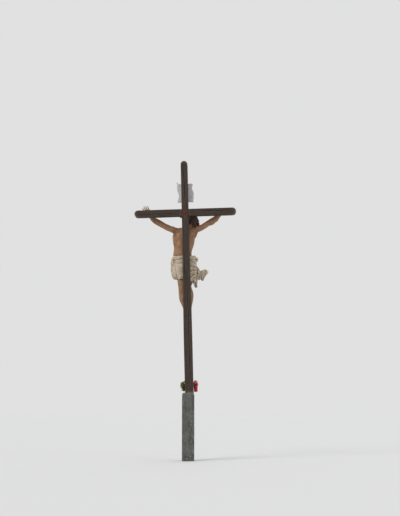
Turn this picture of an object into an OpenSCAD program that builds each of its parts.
// Wayside cross: a timber cross on a stone pillar, with a cast figure, a title scroll and an iron
// holder for a vigil light and a flower vase.
// +Z is up, the figure faces -Y, and the origin is the middle of the pillar's foot at ground level.
// Everything above the pillar stands in the cross's own frame: it leans a little towards +X, its
// origin is the middle of the post on top of the pillar, and its Z runs up the post.

/* [Pillar] */
// Width of the stone pillar, side to side
base_w = 194; // [186:1:240]
// Depth of the stone pillar, front to back
base_d = 230; // [200:1:280]
// Height of the stone pillar above the ground
base_h = 1065; // [800:5:1300]
// How far the pillar's rounded shoulders draw in on each side
base_top_in = 12; // [5:1:16]
// Height of the pillar's rounded shoulders
base_top_h = 60; // [20:1:80]
// Thickness of the mortar bed under the post
bed_t = 13; // [6:1:25]

/* [Post] */
// Width of the post at its foot
post_w = 138; // [125:1:150]
// Width of the post where it carries the beam, and above
post_top_w = 112; // [95:1:120]
// Depth of the post, front to back
post_d = 130; // [115:1:150]
// Height on the post where its taper begins
taper_low = 900; // [700:10:1000]
// Length of post between the end of the taper and the beam's axis
taper_gap = 85; // [75:1:150]
// Height of the post above the beam's axis
post_above = 861; // [700:1:1000]
// Chamfer along the edges of the post and beam
edge_chamfer = 9; // [4:0.5:14]
// Lean of the whole cross, in degrees
lean = 1.4; // [0:0.1:2]
// Distance of the post's foot from the middle of the pillar
foot_shift = 17; // [0:1:20]
// Width of the tenon under the post
tenon_w = 90; // [70:1:100]
// Depth of the tenon under the post, front to back
tenon_d = 80; // [60:1:90]
// Length of the tenon under the post
tenon_l = 300; // [200:5:400]
// Clearance between the tenon and its mortise
tenon_gap = 1.5; // [0.5:0.1:3]

/* [Beam] */
// Height of the beam's axis above the pillar
beam_z = 2925; // [2700:1:3100]
// Length of the beam, tip to tip
beam_l = 1667; // [1560:1:1800]
// Height of the beam's section
beam_t = 119; // [105:1:125]
// Depth of the beam, front to back
beam_d = 112; // [90:1:112]
// Clearance in the halved joint
lap_gap = 0.4; // [0.2:0.1:1]
// Diameter of the bolt through the halved joint
lap_bolt_d = 16; // [12:1:20]
// Side of the square washer behind the joint
lap_washer_w = 48; // [40:1:60]
// Thickness of the square washer
lap_washer_t = 5; // [3:0.5:8]
// Length of the wedge under the beam, beside the post
wedge_l = 38; // [25:1:60]
// Height of the wedge at its thick end
wedge_h = 22; // [12:1:35]
// Depth of the wedge, front to back
wedge_d = 60; // [30:1:90]

/* [Scroll] */
// Height of the scroll's middle above the beam's axis
scroll_up = 347; // [300:1:380]
// Width of the scroll at its rolled ends
scroll_w = 262; // [220:1:320]
// Height of the scroll between its rolled ends
scroll_h = 282; // [240:1:320]
// Thickness of the scroll's sheet metal
scroll_t = 3; // [2:0.5:5]
// Radius of the scroll's rolled ends
scroll_roll_r = 17; // [14:0.5:20]
// How far the side of the scroll at the figure's left is drawn in
scroll_waist = 27; // [8:1:34]
// Height of the corner that stands up over the top roll
scroll_horn = 26; // [10:1:40]

/* [Figure] */
// Height of the figure, from its crown to its heels when it stands upright
figure_h = 1800; // [1720:5:1860]
// Width of the figure's waist
waist_w = 302; // [280:1:320]
// Width of the figure's chest
chest_w = 362; // [340:1:380]
// Depth of the figure's chest
chest_d = 226; // [210:1:240]
// Width of the loincloth over the hips
hip_w = 434; // [410:1:460]
// Depth of the folds in the loincloth
fold_depth = 7; // [3:0.5:10]
// Thickness of the loincloth's hanging and flying ends
cloth_end_t = 24; // [16:1:32]
// Distance of each nailed hand from the post's axis
hand_x = 612; // [595:1:630]
// Diameter of the nails through the hands and feet
nail_d = 11; // [8:0.5:14]
// Diameter of the nails' heads
nail_head_d = 30; // [24:1:36]
// How far the nails go into the timber
nail_grip = 55; // [35:1:70]
// Thickness of the strands in the crown of thorns
thorn_strand_d = 13; // [10:0.5:16]

/* [Holder] */
// Height of the holder's rings above the pillar
holder_z = 128; // [115:1:150]
// Width of the holder's flat bar
bar_w = 24; // [18:1:30]
// Thickness of the holder's flat bar
bar_t = 5; // [4:0.5:8]
// Distance of the light's ring from the post's axis
light_x = 99; // [92:1:120]
// Distance of the vase's ring from the post's axis
vase_x = 93; // [90:1:120]
// Inner radius of each ring
ring_r = 38; // [36:0.5:41]

/* [Vigil light] */
// Height of the light's jar under the ring
jar_h = 119; // [100:1:125]
// Radius of the jar at its mouth
jar_r = 36; // [33:0.5:37]
// Radius of the jar at its foot
jar_foot_r = 29; // [24:0.5:32]
// Wall of the jar
jar_wall = 2.4; // [1.6:0.1:4]
// Height of the light's lid
lid_h = 62; // [50:1:75]
// Height of the candle in the jar
candle_h = 84; // [60:1:95]

/* [Vase] */
// Height of the vase under the ring
vase_h = 104; // [85:1:115]
// Radius of the vase at its mouth
vase_r = 33; // [30:0.5:35]
// Radius of the vase at its foot
vase_foot_r = 15; // [12:0.5:20]
// Wall of the vase
vase_wall = 2.2; // [1.6:0.1:4]

/* [Hidden] */

$fn = 48;
seat = 0.3;                         // gap between pieces that only rest against each other
front_y = -post_d / 2;              // front face of the post and beam, which the figure hangs on
taper_high = beam_z - taper_gap;    // height where the post's taper ends
lap_y = front_y + beam_d / 2;       // plane where the halved post and beam meet
drawn_h = 1800;                     // height of the figure that the figure's stations are written for
life = figure_h / drawn_h;          // scale of the figure to its stations
room = 1000;                        // longer than any block that is cut away around the figure
hand_nail_up = 20 * life;           // height of the hands' nails above the beam's axis
left_hand_rise = 64;                // angle of the left hand above the level
right_hand_rise = 40;               // angle of the right hand above the level
hand_hold = 32;                     // how far a hand nail's head stands off the beam
foot_nail_x = 2 * life;             // sideways place of the foot nail
foot_nail_z = -1790 * life;         // height of the foot nail from the beam's axis
foot_hold = 112 * life;             // how far the foot nail's head stands off the post
screw_d = 8;                        // diameter of the screws in the scroll and the holder

// Places a piece of the cross on the pillar, with the cross's lean
module on_pillar() {
    translate([-foot_shift, 0, base_h]) rotate([0, lean, 0]) children();
}

// Places a piece of the figure: Z is measured from the beam's axis, and Y from the timber's front face
module on_beam() {
    on_pillar() translate([0, front_y, beam_z]) children();
}

// Places a form whose stations are written for the drawn height
module life_size() {
    scale(life) children();
}

// Outline of a timber's section, with chamfered edges
function timber_section(w, d, c) = [[-w / 2 + c, -d / 2], [w / 2 - c, -d / 2], [w / 2, -d / 2 + c],
    [w / 2, d / 2 - c], [w / 2 - c, d / 2], [-w / 2 + c, d / 2], [-w / 2, d / 2 - c], [-w / 2, -d / 2 + c]];

module timber(w, d, h) {
    linear_extrude(h) polygon(timber_section(w, d, edge_chamfer));
}

// A round bar towards the front: the shank of a nail, bolt or screw, or the hole for one
module bar(d, l) {
    rotate([90, 0, 0]) cylinder(d = d, h = l);
}

// The half-round end of a timber: a disc with chamfered rims, whose axis lies along Y
module timber_end(w, d) {
    rotate([90, 0, 0]) rotate_extrude() polygon([[0, -d / 2], [w / 2 - edge_chamfer, -d / 2],
        [w / 2, -d / 2 + edge_chamfer], [w / 2, d / 2 - edge_chamfer], [w / 2 - edge_chamfer, d / 2],
        [0, d / 2]]);
}

// Outline of the pillar from one side: upright, with shoulders that round in to the flat top
function pillar_outline(w) = concat([[-w / 2, 0], [w / 2, 0]],
    [for (a = [0:15:90]) [w / 2 - base_top_in * (1 - cos(a)), base_h - base_top_h * (1 - sin(a))]],
    [for (a = [90:-15:0]) [-w / 2 + base_top_in * (1 - cos(a)), base_h - base_top_h * (1 - sin(a))]]);

module base_pillar() {
    color("dimgray") difference() {
        intersection() {
            rotate([90, 0, 0]) translate([0, 0, -base_d]) linear_extrude(2 * base_d) polygon(pillar_outline(base_w));
            rotate([90, 0, 90]) translate([0, 0, -base_w]) linear_extrude(2 * base_w) polygon(pillar_outline(base_d));
        }
        on_pillar() translate([0, 0, -tenon_l - tenon_gap]) linear_extrude(tenon_l + base_top_h)
            square([tenon_w + 2 * tenon_gap, tenon_d + 2 * tenon_gap], center = true);
    }
}

// The bed fills the wedge between the level stone and the leaning post
module mortar_bed() {
    wedge = post_w / 2 * tan(lean) + seat;
    color("tan") difference() {
        on_pillar() translate([0, 0, -wedge - edge_chamfer]) timber(post_w, post_d, wedge + edge_chamfer + bed_t);
        translate([-base_w, -base_d, base_h - 2 * post_w]) cube([2 * base_w, 2 * base_d, 2 * post_w]);
        on_pillar() translate([-tenon_w / 2 - tenon_gap, -tenon_d / 2 - tenon_gap, -post_w])
            cube([tenon_w + 2 * tenon_gap, tenon_d + 2 * tenon_gap, 2 * post_w]);
    }
}

module cross_post() {
    color("#3a2a20") on_pillar() difference() {
        union() {
            translate([0, 0, bed_t]) timber(post_w, post_d, taper_low - bed_t);
            translate([0, 0, taper_low]) tapered_timber();
            translate([0, 0, taper_high]) timber(post_top_w, post_d, taper_gap + post_above - post_top_w / 2);
            translate([0, 0, beam_z + post_above - post_top_w / 2]) timber_end(post_top_w, post_d);
            translate([-tenon_w / 2, -tenon_d / 2, -tenon_l]) cube([tenon_w, tenon_d, tenon_l + bed_t + 1]);
        }
        translate([-post_w, lap_y - post_d, beam_z - beam_t / 2 - lap_gap])
            cube([2 * post_w, post_d, beam_t + 2 * lap_gap]);
        translate([0, post_d, beam_z]) bar(lap_bolt_d, 2 * post_d);
        translate([foot_nail_x, front_y + nail_grip + seat, foot_nail_z + beam_z])
            bar(nail_d, nail_grip + 10);
    }
}

// The stretch of post that narrows from its foot width to its top width
module tapered_timber() {
    low = timber_section(post_w, post_d, edge_chamfer);
    high = timber_section(post_top_w, post_d, edge_chamfer);
    n = len(low);
    polyhedron(points = concat([for (p = low) [p[0], p[1], 0]],
        [for (p = high) [p[0], p[1], taper_high - taper_low]]),
        faces = concat([[for (i = [0:n - 1]) i]], [[for (i = [n - 1:-1:0]) n + i]],
            [for (i = [0:n - 1]) [i, n + i, n + (i + 1) % n, (i + 1) % n]]));
}

module cross_beam() {
    straight = beam_l - beam_t;
    color("#3a2a20") on_pillar() translate([0, front_y + beam_d / 2, beam_z]) difference() {
        union() {
            translate([-straight / 2, 0, 0]) rotate([0, 90, 0]) timber(beam_t, beam_d, straight);
            for (side = [-1, 1]) translate([side * straight / 2, 0, 0]) timber_end(beam_t, beam_d);
        }
        translate([-post_top_w / 2 - lap_gap, lap_gap / 2, -beam_t])
            cube([post_top_w + 2 * lap_gap, beam_d, 2 * beam_t]);
        translate([0, beam_d, 0]) bar(lap_bolt_d, 2 * beam_d);
        for (side = [-1, 1]) translate([side * hand_x, -beam_d / 2 + nail_grip, hand_nail_up])
            bar(nail_d, nail_grip + 10);
    }
}

// The bolt's round head sits on the front of the joint, its washer and nut on the back
module lap_bolt() {
    color("saddlebrown") on_pillar() translate([0, 0, beam_z]) {
        translate([0, post_d / 2 + lap_washer_t + lap_bolt_d * 1.2, 0])
            bar(lap_bolt_d, post_d + lap_washer_t + lap_bolt_d * 1.2 + 1);
        translate([0, front_y, 0]) rotate([90, 0, 0]) intersection() {
            translate([0, 0, -lap_bolt_d * 0.75]) sphere(r = lap_bolt_d * 1.25);
            cylinder(r = lap_bolt_d * 2, h = lap_bolt_d);
        }
    }
}

module lap_washer() {
    color("sienna") on_pillar() translate([0, post_d / 2, beam_z]) rotate([-90, 0, 0]) difference() {
        linear_extrude(lap_washer_t) square(lap_washer_w, center = true);
        translate([0, 0, -1]) cylinder(d = lap_bolt_d + 2 * tenon_gap, h = lap_washer_t + 2);
    }
}

module lap_nut() {
    color("saddlebrown") on_pillar() translate([0, post_d / 2 + lap_washer_t, beam_z])
        rotate([-90, 0, 0]) difference() {
            cylinder(d = lap_bolt_d * 1.75, h = lap_bolt_d * 0.8, $fn = 6);
            translate([0, 0, -1]) cylinder(d = lap_bolt_d, h = lap_bolt_d);
        }
}

// A timber wedge driven into the corner under the beam, at the figure's left of the post
module beam_wedge() {
    color("#4a3828") on_pillar() translate([post_top_w / 2 + seat, wedge_d / 2, beam_z - beam_t / 2 - seat])
        rotate([90, 0, 0]) linear_extrude(wedge_d)
            polygon([[0, 0], [0, -wedge_h], [wedge_l * 0.7, -wedge_h * 0.8], [wedge_l, -wedge_h * 0.3], [wedge_l, 0]]);
}

// Points of the scroll's rolled end, top (side 1) or bottom (side -1), inset by the sheet's thickness
function curl(side, inset) = [for (i = [0:40]) let (turn = 10 * i, r = scroll_roll_r * (1 - 0.0075 * i) - inset)
    [-scroll_roll_r + r * cos(turn), side * (scroll_h / 2 + r * sin(turn))]];

function backwards(list) = [for (i = [len(list) - 1:-1:0]) list[i]];

// How far a side of the scroll is drawn in at a height from its middle
function drawn_in(z, mid, spread, deep) = deep * exp(-pow((z - mid) / spread, 2));

// The sides of the scroll: the left one is drawn in low down, the right one under the top roll
function scroll_left(z) = scroll_w / 2 - drawn_in(z, -scroll_h / 5, scroll_h / 4, scroll_waist);
function scroll_right(z) = -scroll_w / 2 + drawn_in(z, scroll_h / 4, scroll_h / 7, scroll_waist * 0.6);

module title_scroll() {
    reach = scroll_h / 2 + scroll_roll_r + 1;
    horn_x = scroll_left(scroll_h / 2);
    color("lightsteelblue") on_beam() translate([0, -seat, scroll_up]) difference() {
        union() {
            intersection() {
                translate([-scroll_w, 0, 0]) rotate([90, 0, 90]) linear_extrude(2 * scroll_w)
                    polygon(concat(backwards(curl(-1, 0)), curl(1, 0), backwards(curl(1, scroll_t)),
                        curl(-1, scroll_t)));
                translate([0, 1, 0]) rotate([90, 0, 0]) linear_extrude(3 * scroll_roll_r) polygon(concat(
                    [for (z = [-12:12]) [scroll_left(z * reach / 12), z * reach / 12]],
                    [for (z = [-12:12]) [scroll_right(-z * reach / 12), -z * reach / 12]]));
            }
            translate([horn_x, 0, scroll_h / 2]) rotate([90, 0, 0]) linear_extrude(scroll_t)
                polygon([[-40, -4], [0, -4], [4, scroll_roll_r + scroll_horn / 2], [0, scroll_roll_r + scroll_horn],
                    [-12, scroll_roll_r + scroll_horn / 2], [-24, scroll_roll_r / 2]]);
        }
        for (z = [-1, 1]) translate([0, 1, z * scroll_h / 4]) bar(screw_d + seat, scroll_t + 2);
    }
}

module scroll_screws() {
    color("sienna") on_beam() for (z = [-1, 1]) translate([0, -seat - scroll_t, scroll_up + z * scroll_h / 4])
        rotate([90, 0, 0]) {
            intersection() {
                translate([0, 0, -screw_d]) sphere(r = 1.6 * screw_d);
                cylinder(r = 2 * screw_d, h = screw_d);
            }
            translate([0, 0, -scroll_t - seat]) cylinder(d = screw_d, h = scroll_t + seat + 1);
        }
}

// Flows a smooth curve through a list of stations, with some steps between each two
function between(p0, p1, p2, p3, t) = 0.5 * (2 * p1 + (p2 - p0) * t + (2 * p0 - 5 * p1 + 4 * p2 - p3) * t * t
    + (3 * p1 - p0 - 3 * p2 + p3) * t * t * t);
function smooth(s, steps) = let (m = len(s) - 1) concat([for (i = [0:m - 1]) for (j = [0:steps - 1])
    between(s[max(i - 1, 0)], s[i], s[i + 1], s[min(i + 2, m)], j / steps)], [s[m]]);

function unit(v) = v / norm(v);
function place(s) = [s[0], s[1], s[2]];
function heading(s, i) = unit(place(s[min(i + 1, len(s) - 1)]) - place(s[max(i - 1, 0)]));

// The figure's back lies flat on the timber, so no point of it goes behind the timber's face
function flat(p) = [p[0], min(p[1], -seat), p[2]];

// How much a surface swells at an angle and a height. Each form is its angle, its height, how far
// it spreads round and along, and its swell as a share of the radius
function turned_by(a) = a > 180 ? a - 360 : (a < -180 ? a + 360 : a);
function swell(forms, a, z) = 1 + (len(forms) == 0 ? 0 : [for (f = forms)
    f[4] * exp(-pow(turned_by(a - f[0]) / f[2], 2) - pow((z - f[1]) / f[3], 2))] * [for (f = forms) 1]);

// Rings of points square to a limb. A station is x, y, z, half its width and half its depth
function limb_rings(s, n) = [for (i = [0:len(s) - 1])
    let (d = heading(s, i), deep = unit([0, 1, 0] - d * d[1]), across = cross(deep, d))
        [for (j = [0:n - 1]) let (a = 360 * j / n) flat(place(s[i]) + s[i][3] * cos(a) * across
            + s[i][4] * sin(a) * deep)]];

// Level rings of points: x and y of the middle, z, half the width, half the depth
function level_rings(s, n, forms) = [for (q = s) [for (j = [0:n - 1])
    let (a = 360 * j / n, k = swell(forms, a, q[2]))
        flat([q[0] + k * q[3] * cos(a), q[1] + k * q[4] * sin(a), q[2]])]];

// Closed skin over a list of rings
module skin(rings) {
    n = len(rings[0]);
    m = len(rings);
    polyhedron(points = [for (r = rings) for (p = r) p], faces = concat(
        [[for (j = [0:n - 1]) j]],
        [[for (j = [n - 1:-1:0]) (m - 1) * n + j]],
        [for (i = [0:m - 2]) for (j = [0:n - 1]) [i * n + j, (i + 1) * n + j, (i + 1) * n + (j + 1) % n]],
        [for (i = [0:m - 2]) for (j = [0:n - 1]) [i * n + j, (i + 1) * n + (j + 1) % n, i * n + (j + 1) % n]]));
}

// A thin slice of a limb's end, for hulls that flow into it
module end_slice(ring, d) {
    skin([ring, [for (p = ring) p + d]]);
}

module ball(p, r, sides = 14) {
    translate(p) sphere(r = r, $fn = sides);
}

module torso() {
    rings = level_rings(smooth(torso_stations(), 2), 28, torso_forms);
    color("peru") on_beam() life_size() difference() {
        union() {
            skin(backwards(rings));
            for (side = [-1, 1]) {
                root = shoulder(side);
                d = unit(arm_way(side));
                slice = limb_rings([root, concat(place(root) + d, [root[3], root[4]])], limb_sides)[0];
                hull() {
                    ball([side * 148 + 8, 10 - chest_deep, -264], 50, 10);
                    end_slice(slice, -d);
                }
                hull() {
                    ball([side * 60, 2 - chest_deep, -268], 46, 8);
                    ball([side * 150 + 8, 12 - chest_deep, -264], 48, 8);
                }
                hull() {
                    ball([side * 160 + 22, -chest_deep, -370], 30, 8);
                    ball([side * 172 + 14, -chest_deep, -305], 36, 8);
                }
            }
            hull() for (side = [-1, 1]) ball([side * 40 - 6, 20 - chest_deep, -246], 40, 8);
            hull() for (side = [-1, 1]) ball([side * 96 + 6, 12 - chest_deep, -256], 44, 8);
        }
        skin(head_rings(seat));
    }
}

// Stations down the trunk, from the neck to the waist
chest_half = chest_w / life / 2;
chest_deep = chest_d / life / 2;
waist_half = waist_w / life / 2;
function torso_stations() = [
    [-8, 10 - chest_deep, -246, 60, 56],
    [-4, 8 - chest_deep, -262, 110, 70],
    [4, 4 - chest_deep, -290, 150, 88],
    [16, -chest_deep, -330, chest_half, 0.94 * chest_deep],
    [41, -chest_deep, -396, chest_half, chest_deep],
    [44, 2 - chest_deep, -470, 0.98 * chest_half, 0.98 * chest_deep],
    [48, 8 - chest_deep, -545, 1.06 * waist_half, 0.9 * chest_deep],
    [66, 16 - chest_deep, -622, waist_half, 0.82 * chest_deep],
    [71, 20 - chest_deep, waist_z, 1.03 * waist_half, 0.8 * chest_deep]];

// Chest muscles, the arch of the ribs, the belly, the shoulder blades and the groove of the spine
torso_forms = [[238, -355, 26, 45, 0.07], [302, -355, 26, 45, 0.07], [270, -345, 8, 60, -0.05],
    [270, -450, 22, 40, -0.05], [225, -470, 18, 40, 0.04], [315, -470, 18, 40, 0.04],
    [270, -590, 24, 45, 0.05], [200, -420, 16, 60, 0.03], [340, -420, 16, 60, 0.03]];

// Where each arm leaves the shoulder, and the way it goes
function shoulder(side) = side > 0 ? left_arm_stations()[0] : right_arm_stations()[0];
function arm_way(side) = let (s = side > 0 ? left_arm_stations() : right_arm_stations())
    place(s[1]) - place(s[0]);

// The arms' stations are written for drawn_hand_x and reach out from the shoulder as far as the hand
// needs. palm is how far the wrist lies in from the nail
hand_out = hand_x / life;
drawn_hand_x = 612;
limb_sides = 16;
function reach_out(x, palm, shoulder_x = 222) = sign(x) * (shoulder_x + (abs(x) - shoulder_x)
    * (hand_out - palm - shoulder_x) / (drawn_hand_x - palm - shoulder_x));
function reaching(stations, palm) = [for (s = stations) [reach_out(s[0], palm), s[1], s[2], s[3], s[4]]];

function left_arm_stations() = smooth(reaching([
    [222, -98, -249, 50, 54],
    [292, -96, -214, 51, 52],
    [365, -90, -178, 49, 48],
    [430, -84, -137, 52, 47],
    [490, -74, -102, 50, 43],
    [540, -52, -68, 41, 33],
    [578, -32, -28, 30, 24]], 34), 3);

function right_arm_stations() = smooth(reaching([
    [-222, -98, -242, 50, 54],
    [-298, -96, -200, 48, 50],
    [-362, -90, -160, 46, 48],
    [-434, -84, -122, 51, 47],
    [-496, -70, -85, 46, 41],
    [-548, -48, -40, 35, 32],
    [-584, -32, -6, 30, 24]], 28), 3);

module arm(stations) {
    rings = limb_rings(stations, limb_sides);
    d = heading(stations, 0);
    color("peru") on_beam() life_size() skin(concat([[for (p = rings[0]) p + d * seat]],
        [for (i = [1:len(rings) - 1]) rings[i]]));
}

module right_arm() {
    arm(right_arm_stations());
}

module left_arm() {
    arm(left_arm_stations());
}

// A hand's own frame: z along the hand from the wrist, y square to the timber. The hand turns from
// the line of the forearm to its own rise above the level
function hand_way(side, rise) = [side * cos(rise), 0, sin(rise)];
function hand_point(wrist, way, p) = place(wrist) + p[0] * cross([0, 1, 0], way) + [0, p[1], 0] + p[2] * way;

// A hand on the beam, palm outwards, with its nail hole: bend closes the fingers
module hand(stations, side, rise, bend) {
    color("peru") on_beam() difference() {
        life_size() hand_form(stations, side, rise, bend);
        nailed(side * hand_x, hand_nail_up, hand_hold);
    }
}

module hand_form(stations, side, rise, bend) {
    last = len(stations) - 1;
    wrist = stations[last];
    way = hand_way(side, rise);
    palm = smooth([[0, 6, 22, 31, 22], [side * 1, 12, 52, 39, 18], [side * 2, 16, 84, 42, 14],
        [side, 16, 100, 37, 11]], 2);
    difference() {
        union() {
            skin(concat([[for (p = limb_rings(stations, limb_sides)[last]) p + heading(stations, last) * seat]],
                [for (q = palm) [for (j = [0:limb_sides - 1]) let (a = 360 * j / limb_sides)
                    flat(hand_point(wrist, way, [q[0] + q[3] * cos(a), q[1] + q[4] * sin(a), q[2]]))]]));
            for (f = [0:3]) {
                spread = [0.16, 0.05, -0.05, -0.17][f];
                l = [32, 40, 42, 36][f];
                r = [8, 9, 9.5, 9.5][f];
                p0 = [-side * (27 - 18 * f), 16, 94];
                p1 = p0 + l * [-side * spread, -sin(bend), cos(bend)];
                p2 = p1 + 0.75 * l * [-side * spread, -sin(2.3 * bend), cos(2.3 * bend)];
                finger(hand_point(wrist, way, p0), hand_point(wrist, way, p1), r);
                finger(hand_point(wrist, way, p1), hand_point(wrist, way, p2), r * 0.88);
            }
            finger(hand_point(wrist, way, [side * 22, 4, 30]), hand_point(wrist, way, [side * 48, -2, 62]), 13);
            finger(hand_point(wrist, way, [side * 48, -2, 62]), hand_point(wrist, way, [side * 53, -5, 88]), 10);
        }
        behind_timber();
    }
}

// The hole for a nail and the seat for its head, in a casting that is held against the timber
module nailed(x, z, hold) {
    translate([x, 1, z]) bar(nail_d + 2 * seat, 300, $fn = 16);
    translate([x, seat - hold, z]) bar(nail_head_d + 2, 100, $fn = 20);
}

// What lies behind the timber's front face
module behind_timber() {
    translate([-room, -seat, -room]) cube([2 * room, room, 2 * room]);
}

module finger(a, b, r) {
    hull() {
        ball(a, r, 6);
        ball(b, r * 0.93, 6);
    }
}

module right_hand() {
    hand(right_arm_stations(), -1, right_hand_rise, 30);
}

module left_hand() {
    hand(left_arm_stations(), 1, left_hand_rise, 8);
}

// The head bows forward and leans to the figure's right
head_at = [-100, -168, -114];
bow = 24;
tilt = 21;
function head_point(p) = let (y = p[1] * cos(bow) - p[2] * sin(bow), z = p[1] * sin(bow) + p[2] * cos(bow))
    [head_at[0] + p[0] * cos(tilt) - z * sin(tilt), head_at[1] + y, head_at[2] + p[0] * sin(tilt) + z * cos(tilt)];

module at_head() {
    translate(head_at) rotate([bow, -tilt, 0]) children();
}

// Slices of the head from the neck up: height, face, back, half the width
head_slices = [[-116, -24, 62, 56], [-112, -70, 62, 40], [-100, -82, 64, 48], [-80, -86, 70, 57],
    [-60, -86, 80, 64], [-40, -88, 90, 70], [-20, -87, 98, 74], [0, -84, 103, 76], [25, -90, 104, 77],
    [55, -84, 100, 73], [80, -70, 88, 63], [98, -46, 68, 46], [108, -22, 45, 26], [112, 2, 20, 8]];

// Nose, its bridge, the eye sockets, the cheekbones, the lips and the chin
face_forms = [[270, -36, 9, 13, 0.16], [270, -10, 7, 22, 0.09], [247, 2, 11, 9, -0.07], [293, 2, 11, 9, -0.07],
    [238, -24, 12, 12, 0.03], [302, -24, 12, 12, 0.03], [270, -64, 17, 7, 0.04], [270, -98, 15, 10, 0.05]];

function head_rings(grow) = let (n = 26, top = [-14, 14 - chest_deep, -262])
    concat([[for (j = [0:n - 1]) let (a = 360 * j / n)
        [top[0] + (56 + grow) * cos(a), top[1] + (52 + grow) * sin(a), top[2]]]],
    [for (s = smooth(head_slices, 2)) [for (j = [0:n - 1])
        let (t = 360 * j / n, a = t + 18 * sin(2 * t) * (t > 180 ? 1 : 0), k = swell(face_forms, a, s[0]),
            mid = (s[1] + s[2]) / 2, deep = (s[2] - s[1]) / 2)
            head_point([(s[3] * k + grow) * cos(a), mid + (deep * k + grow) * sin(a), s[0]])]]);

module head() {
    color("peru") on_beam() life_size() skin(head_rings(0));
}

// Slices of the hair from its lower edge up: height, front, back, half the width
hair_slices = [[-96, -20, 78, 66], [-70, -58, 90, 76], [-40, -80, 102, 84], [0, -92, 114, 88],
    [30, -98, 116, 89], [60, -94, 112, 84], [86, -80, 98, 72], [106, -52, 74, 50], [119, -24, 46, 24]];

// The hair as a smooth cap, with some waves round it, grown outwards a little
module hair_cap(waves, grow) {
    n = 20;
    skin([for (s = hair_slices) [for (j = [0:n - 1]) let (a = 360 * j / n, k = 1 + grow + waves * cos(8 * a))
        [s[3] * k * cos(a), (s[1] + s[2]) / 2 + (s[2] - s[1]) / 2 * k * sin(a), s[0]]]]);
}

// One lock of hair or beard, between two points of the head
module lock(a, ra, b, rb) {
    hull() {
        ball(a, ra, 6);
        ball(b, rb, 6);
    }
}

// Hair over the skull with locks on the shoulders, and a short beard
module hair_and_beard() {
    lock_end = -214;
    color("saddlebrown") on_beam() life_size() difference() {
        union() {
            at_head() {
                difference() {
                    hair_cap(0.025, 0);
                    translate([-52, -130, -86]) cube([104, 78, 150]);
                }
                for (side = [-1, 1]) {
                    for (k = [0:2])
                        lock([side * (78 - 14 * k), 14 + 32 * k, -30], 17,
                            [side * (70 - 8 * k), 6 + 38 * k, -98 - 10 * k], 10);
                    lock([side * 66, -30, -52], 14, [side * 44, -62, -86], 13);
                    lock([side * 44, -62, -86], 14, [side * 8, -76, -116], 15);
                }
            }
            lock([-176, -140, -120], 32, [-197, -158, -152], 29);
        }
        skin(head_rings(seat));
        behind_timber();
        translate([-room, -room, -room]) cube([2 * room, room, room + lock_end]);
    }
}

// Two strands twisted round the hair, with thorns
module crown_of_thorns() {
    steps = 24;
    color("dimgray") on_beam() life_size() difference() {
        at_head() {
            for (strand = [0, 1]) loop_skin([for (i = [0:steps - 1]) let (
                p = crown_point(i / steps, strand),
                way = unit(crown_point((i + 1) / steps, strand) - crown_point((i - 1) / steps, strand)),
                out = unit([p[0], p[1] - crown_mid[1], 0]), up = cross(way, out))
                    [for (j = [0:4]) p + thorn_strand_d / life / 2 * (cos(72 * j) * out + sin(72 * j) * up)]]);
            for (i = [0:11]) let (p = crown_point(i / 12, i % 2), out = unit([p[0], p[1] - crown_mid[1], 0]))
                translate(p) rotate([0, 90 - 25 * (i % 3 - 1), atan2(out[1], out[0])])
                    cylinder(r1 = thorn_strand_d / life / 3, r2 = 0.8, h = 28, $fn = 5);
        }
        at_head() hair_cap(0, 0.028);
        behind_timber();
    }
}

// A strand's middle line at a share of its way round the head
crown_mid = [0, 9, 42];
function crown_point(share, strand) = let (a = 360 * share, w = 180 * strand + 1080 * share)
    crown_mid + [(93 + 4 * cos(w)) * cos(a), (109 + 4 * cos(w)) * sin(a), 7 * sin(w)];

// Skin round a closed loop of rings
module loop_skin(rings) {
    n = len(rings[0]);
    m = len(rings);
    polyhedron(points = [for (r = rings) for (p = r) p], faces = [for (i = [0:m - 1]) for (j = [0:n - 1])
        let (k = (i + 1) % m, l = (j + 1) % n) each [[i * n + j, k * n + j, k * n + l], [i * n + j, k * n + l, i * n + l]]]);
}

// Loincloth: stations from the rolled top down to the hem, with deepening folds
waist_z = -690;
hem_z = -1095;
hem_slope = 0.24;
hip_x = 24;
hip_half = hip_w / life / 2;
cloth_stations = [[66, -106, waist_z - seat, 0.75 * hip_half, 98], [50, -110, -706, 0.85 * hip_half, 106],
    [33, -112, -730, 0.96 * hip_half, 110], [42, -114, -775, 0.97 * hip_half, 112],
    [48, -120, -850, 0.975 * hip_half, 120], [53, -125, -920, hip_half, 124],
    [50, -126, -985, 0.955 * hip_half, 126], [38, -126, -1035, 0.87 * hip_half, 122],
    [17, -126, hem_z, 0.71 * hip_half, 116]];

function hem_at(x) = hem_z + hem_slope * (x - hip_x);

function cloth_rings(grow) = let (n = 38, s = smooth(cloth_stations, 2))
    [for (q = s) let (low = max(0, (waist_z - 60 - q[2]) / (waist_z - 60 - hem_z))) [for (j = [0:n - 1])
        let (a = 360 * j / n, k = 1 + low * fold_depth / 120 * (sin(7 * a + 40 * low) + 0.6 * sin(12 * a)),
            x = q[0] + (q[3] * k + grow) * cos(a), y = q[1] + (q[4] * k + grow) * sin(a))
            flat([x, y, q[2] + low * low * hem_slope * (x - hip_x)])]];

module loincloth() {
    color("wheat") on_beam() life_size() skin(backwards(cloth_rings(0)));
}

// Level rings of a pleated end of cloth. A station is its height and its two sides
function pleated_rings(s, y, pleats, deep) = let (m = 12, t = cloth_end_t / life)
    [for (q = s) concat(
        [for (i = [0:m]) [q[1] + (q[2] - q[1]) * i / m, y - t / 2 + deep * sin(360 * pleats * i / m), q[0]]],
        [for (i = [m:-1:0]) [q[1] + (q[2] - q[1]) * i / m, y + t / 2 + deep * sin(360 * pleats * i / m), q[0]]])];

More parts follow.
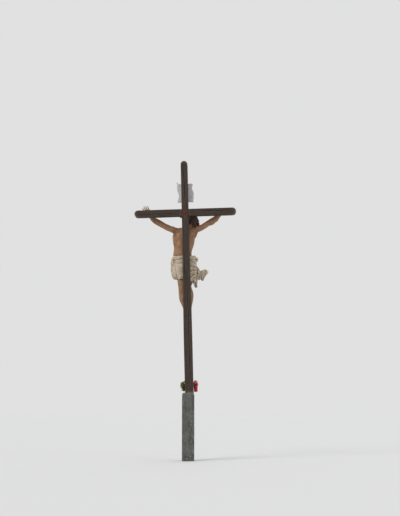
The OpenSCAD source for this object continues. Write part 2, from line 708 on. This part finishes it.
// The knot on the figure's right hip, the end that flies out from it and the end that hangs down
module cloth_knot() {
    flying_end = [[-893, -318, -178], [-912, -341, -180], [-960, -331, -188], [-1023, -289, -196],
        [-1075, -270, -212], [-1110, -254, -236]];
    hanging_end = [[-955, -206, -100], [-1023, -195, -90], [-1075, -177, -84], [-1125, -167, -86],
        [-1168, -163, -102], [-1214, -152, -140]];
    color("wheat") on_beam() life_size() difference() {
        union() {
            for (k = [0:4]) lock([-150 - 8 * k, -136 + 4 * k, -868 - 14 * k], 20,
                [-196 + 2 * k, -150 + 10 * k, -930 - 10 * k], 20);
            for (k = [0:2]) lock([-186, -168 + 22 * k, -944], 19, [-204 + 6 * k, -160 + 18 * k, -985], 15);
            skin(backwards(pleated_rings(flying_end, -132, 2.5, 9)));
            skin(backwards(pleated_rings(hanging_end, -130, 1.5, 6)));
        }
        skin(backwards(cloth_rings(seat)));
    }
}

function left_leg_stations() = smooth([
    [100, -124, -1030, 70, 66],
    [91, -123, -1144, 67, 65],
    [88, -122, -1225, 62, 60],
    [88, -134, -1302, 62, 58],
    [80, -128, -1394, 57, 54],
    [62, -104, -1469, 50, 50],
    [34, -80, -1560, 39, 42],
    [14, -56, -1630, 32, 37],
    [8, -46, -1680, 34, 42],
    [5, -39, -1740, 37, 34],
    [3, -30, -1800, 43, 25],
    [2, -23, -1846, 44, 18]], 2);

function right_leg_stations() = smooth([
    [-30, -166, -1060, 62, 66],
    [-8, -194, -1170, 53, 57],
    [-10, -202, -1216, 55, 57],
    [-25, -206, -1265, 57, 58],
    [-37, -205, -1318, 57, 60],
    [-37, -194, -1368, 55, 58],
    [-33, -178, -1419, 51, 55],
    [-26, -165, -1469, 47, 51],
    [-18, -147, -1560, 38, 41],
    [-9, -135, -1630, 32, 37],
    [-5, -132, -1680, 34, 42],
    [-2, -111, -1740, 37, 34],
    [1, -84, -1800, 43, 24],
    [3, -62, -1846, 44, 18]], 2);

// A leg with its foot: the thigh's top lies in the plane of the cloth's hem
module leg_form(stations, lean_x) {
    rings = limb_rings(stations, limb_sides);
    last = stations[len(stations) - 1];
    skin(concat([[for (p = rings[0]) [p[0], p[1], hem_at(p[0]) - seat]]],
        [for (i = [1:len(rings) - 1]) if (stations[i][2] < hem_at(stations[i][0]) - 45) rings[i]]));
    for (t = [0:4]) {
        x = last[0] + lean_x * (34 - 17 * t);
        l = [34, 30, 27, 23, 18][t];
        r = [12, 9.5, 9, 8.5, 8][t];
        hull() {
            ball([x, last[1] - 2, last[2] + 6], r + 1, 6);
            ball([x, last[1] + 1, last[2] - l], r * 0.9, 6);
        }
    }
}

module right_leg() {
    color("peru") on_beam() difference() {
        life_size() leg_form(right_leg_stations(), 1);
        nailed(foot_nail_x, foot_nail_z, foot_hold);
    }
}

module left_leg() {
    color("peru") on_beam() difference() {
        life_size() leg_form(left_leg_stations(), -1);
        nailed(foot_nail_x, foot_nail_z, 2 * foot_hold);
    }
}

// A forged nail: its head stands off the timber by the thickness it holds
module nail(hold) {
    translate([0, nail_grip, 0]) bar(nail_d, nail_grip + hold + 1);
    translate([0, -hold, 0]) rotate([90, 0, 0]) intersection() {
        translate([0, 0, -nail_head_d * 0.4]) sphere(r = nail_head_d * 0.64);
        cylinder(d = 2 * nail_head_d, h = nail_head_d);
    }
}

module hand_nail_right() {
    color("dimgray") on_beam() translate([-hand_x, 0, hand_nail_up]) nail(hand_hold);
}

module hand_nail_left() {
    color("dimgray") on_beam() translate([hand_x, 0, hand_nail_up]) nail(hand_hold);
}

module foot_nail() {
    color("dimgray") on_beam() translate([foot_nail_x, 0, foot_nail_z]) nail(foot_hold);
}

// Flat bar across the front of the post, with a ring at each end
module holder_bar() {
    color("dimgray") on_pillar() translate([0, front_y, holder_z]) difference() {
        translate([-light_x - bar_w, -bar_t, -bar_w / 2]) cube([light_x + vase_x + 2 * bar_w, bar_t, bar_w]);
        for (side = [-1, 1]) translate([side * post_w / 4, 1, 0]) bar(screw_d + seat, bar_t + 2);
    }
}

module holder_ring(x) {
    color("dimgray") on_pillar() translate([x, front_y - bar_t - ring_r - bar_t, holder_z - bar_w / 4])
        rotate_extrude($fn = 96) translate([ring_r, 0]) square([bar_t, bar_w / 2]);
}

module holder_ring_right() {
    holder_ring(-light_x);
}

module holder_ring_left() {
    holder_ring(vase_x);
}

module holder_screws() {
    color("sienna") on_pillar() for (side = [-1, 1]) translate([side * post_w / 4, front_y - bar_t, holder_z])
        rotate([90, 0, 0]) {
            intersection() {
                translate([0, 0, -screw_d]) sphere(r = 1.6 * screw_d);
                cylinder(r = 2 * screw_d, h = screw_d);
            }
            translate([0, 0, -bar_t]) cylinder(d = screw_d, h = bar_t + 1);
        }
}

// Places what hangs in a ring: z is 0 on the ring's upper edge
module in_ring(x) {
    on_pillar() translate([x, front_y - 2 * bar_t - ring_r, holder_z + bar_w / 4]) children();
}

module light_jar() {
    rim = ring_r + bar_t;
    color("crimson") in_ring(-light_x) rotate_extrude() polygon([[0, -jar_h], [jar_foot_r - 3, -jar_h],
        [jar_foot_r, -jar_h + 3], [jar_r, 0], [rim, 0], [rim, 4], [jar_r - jar_wall, 4],
        [jar_foot_r - jar_wall, -jar_h + jar_wall + 2], [0, -jar_h + jar_wall]]);
}

module light_lid() {
    rim = ring_r + bar_t;
    color("lightcoral") in_ring(-light_x) translate([0, 0, 4]) rotate_extrude() difference() {
        polygon(concat([[0, 0], [rim, 0], [rim, 6], [jar_r, 8]],
            [for (a = [10:10:80]) [jar_r * pow(cos(a), 0.7), 8 + (lid_h - 8) * sin(a)]], [[4, lid_h], [0, lid_h]]));
        polygon(concat([[-1, -1], [jar_r - jar_wall, -1], [jar_r - jar_wall, 8]],
            [for (a = [10:10:80]) [(jar_r - jar_wall) * pow(cos(a), 0.7), 8 + (lid_h - 8 - jar_wall) * sin(a)]],
            [[-1, lid_h - jar_wall]]));
    }
}

module candle() {
    color("ivory") in_ring(-light_x) translate([0, 0, -jar_h + jar_wall + 2]) {
        cylinder(r = jar_foot_r - jar_wall - 1, h = candle_h);
        translate([0, 0, candle_h - 1]) cylinder(r = 1.2, h = 12, $fn = 16);
    }
}

module flower_vase() {
    rim = ring_r + bar_t - 2;
    color("darkolivegreen") in_ring(vase_x) rotate_extrude() polygon([[0, -vase_h], [vase_foot_r, -vase_h],
        [vase_r, 0], [rim, 0], [rim, 3], [vase_r - vase_wall, 3], [vase_foot_r - vase_wall, -vase_h + 6],
        [0, -vase_h + 6]]);
}

// Stems from the vase's foot, over its rim and out to the flowers
function stem_tip(i) = [38 * cos(137 * i), 34 * sin(137 * i) - 6, 36 + 6 * (i % 3)];

module flower_stems() {
    color("olivedrab") in_ring(vase_x) for (i = [0:4]) {
        hull() {
            ball([2 * cos(137 * i), 2 * sin(137 * i), -vase_h + 6 + 2.5 + seat], 2.5, 6);
            ball([14 * cos(137 * i), 14 * sin(137 * i), 4], 2.5, 6);
        }
        hull() {
            ball([14 * cos(137 * i), 14 * sin(137 * i), 4], 2.5, 6);
            ball(stem_tip(i) - [0, 0, 3], 2.5, 6);
        }
    }
}

module flower_heads() {
    color("ivory") in_ring(vase_x) for (i = [0:4]) translate(stem_tip(i)) rotate_extrude($fn = 24)
        polygon([[0, 0], [5, 1], [11, 8], [13, 16], [9, 20], [0, 16]]);
}

base_pillar();
mortar_bed();
cross_post();
cross_beam();
lap_bolt();
lap_washer();
lap_nut();
beam_wedge();
title_scroll();
scroll_screws();
torso();
head();
hair_and_beard();
crown_of_thorns();
right_arm();
left_arm();
right_hand();
left_hand();
loincloth();
cloth_knot();
right_leg();
left_leg();
hand_nail_right();
hand_nail_left();
foot_nail();
holder_bar();
holder_ring_right();
holder_ring_left();
holder_screws();
light_jar();
light_lid();
candle();
flower_vase();
flower_stems();
flower_heads();
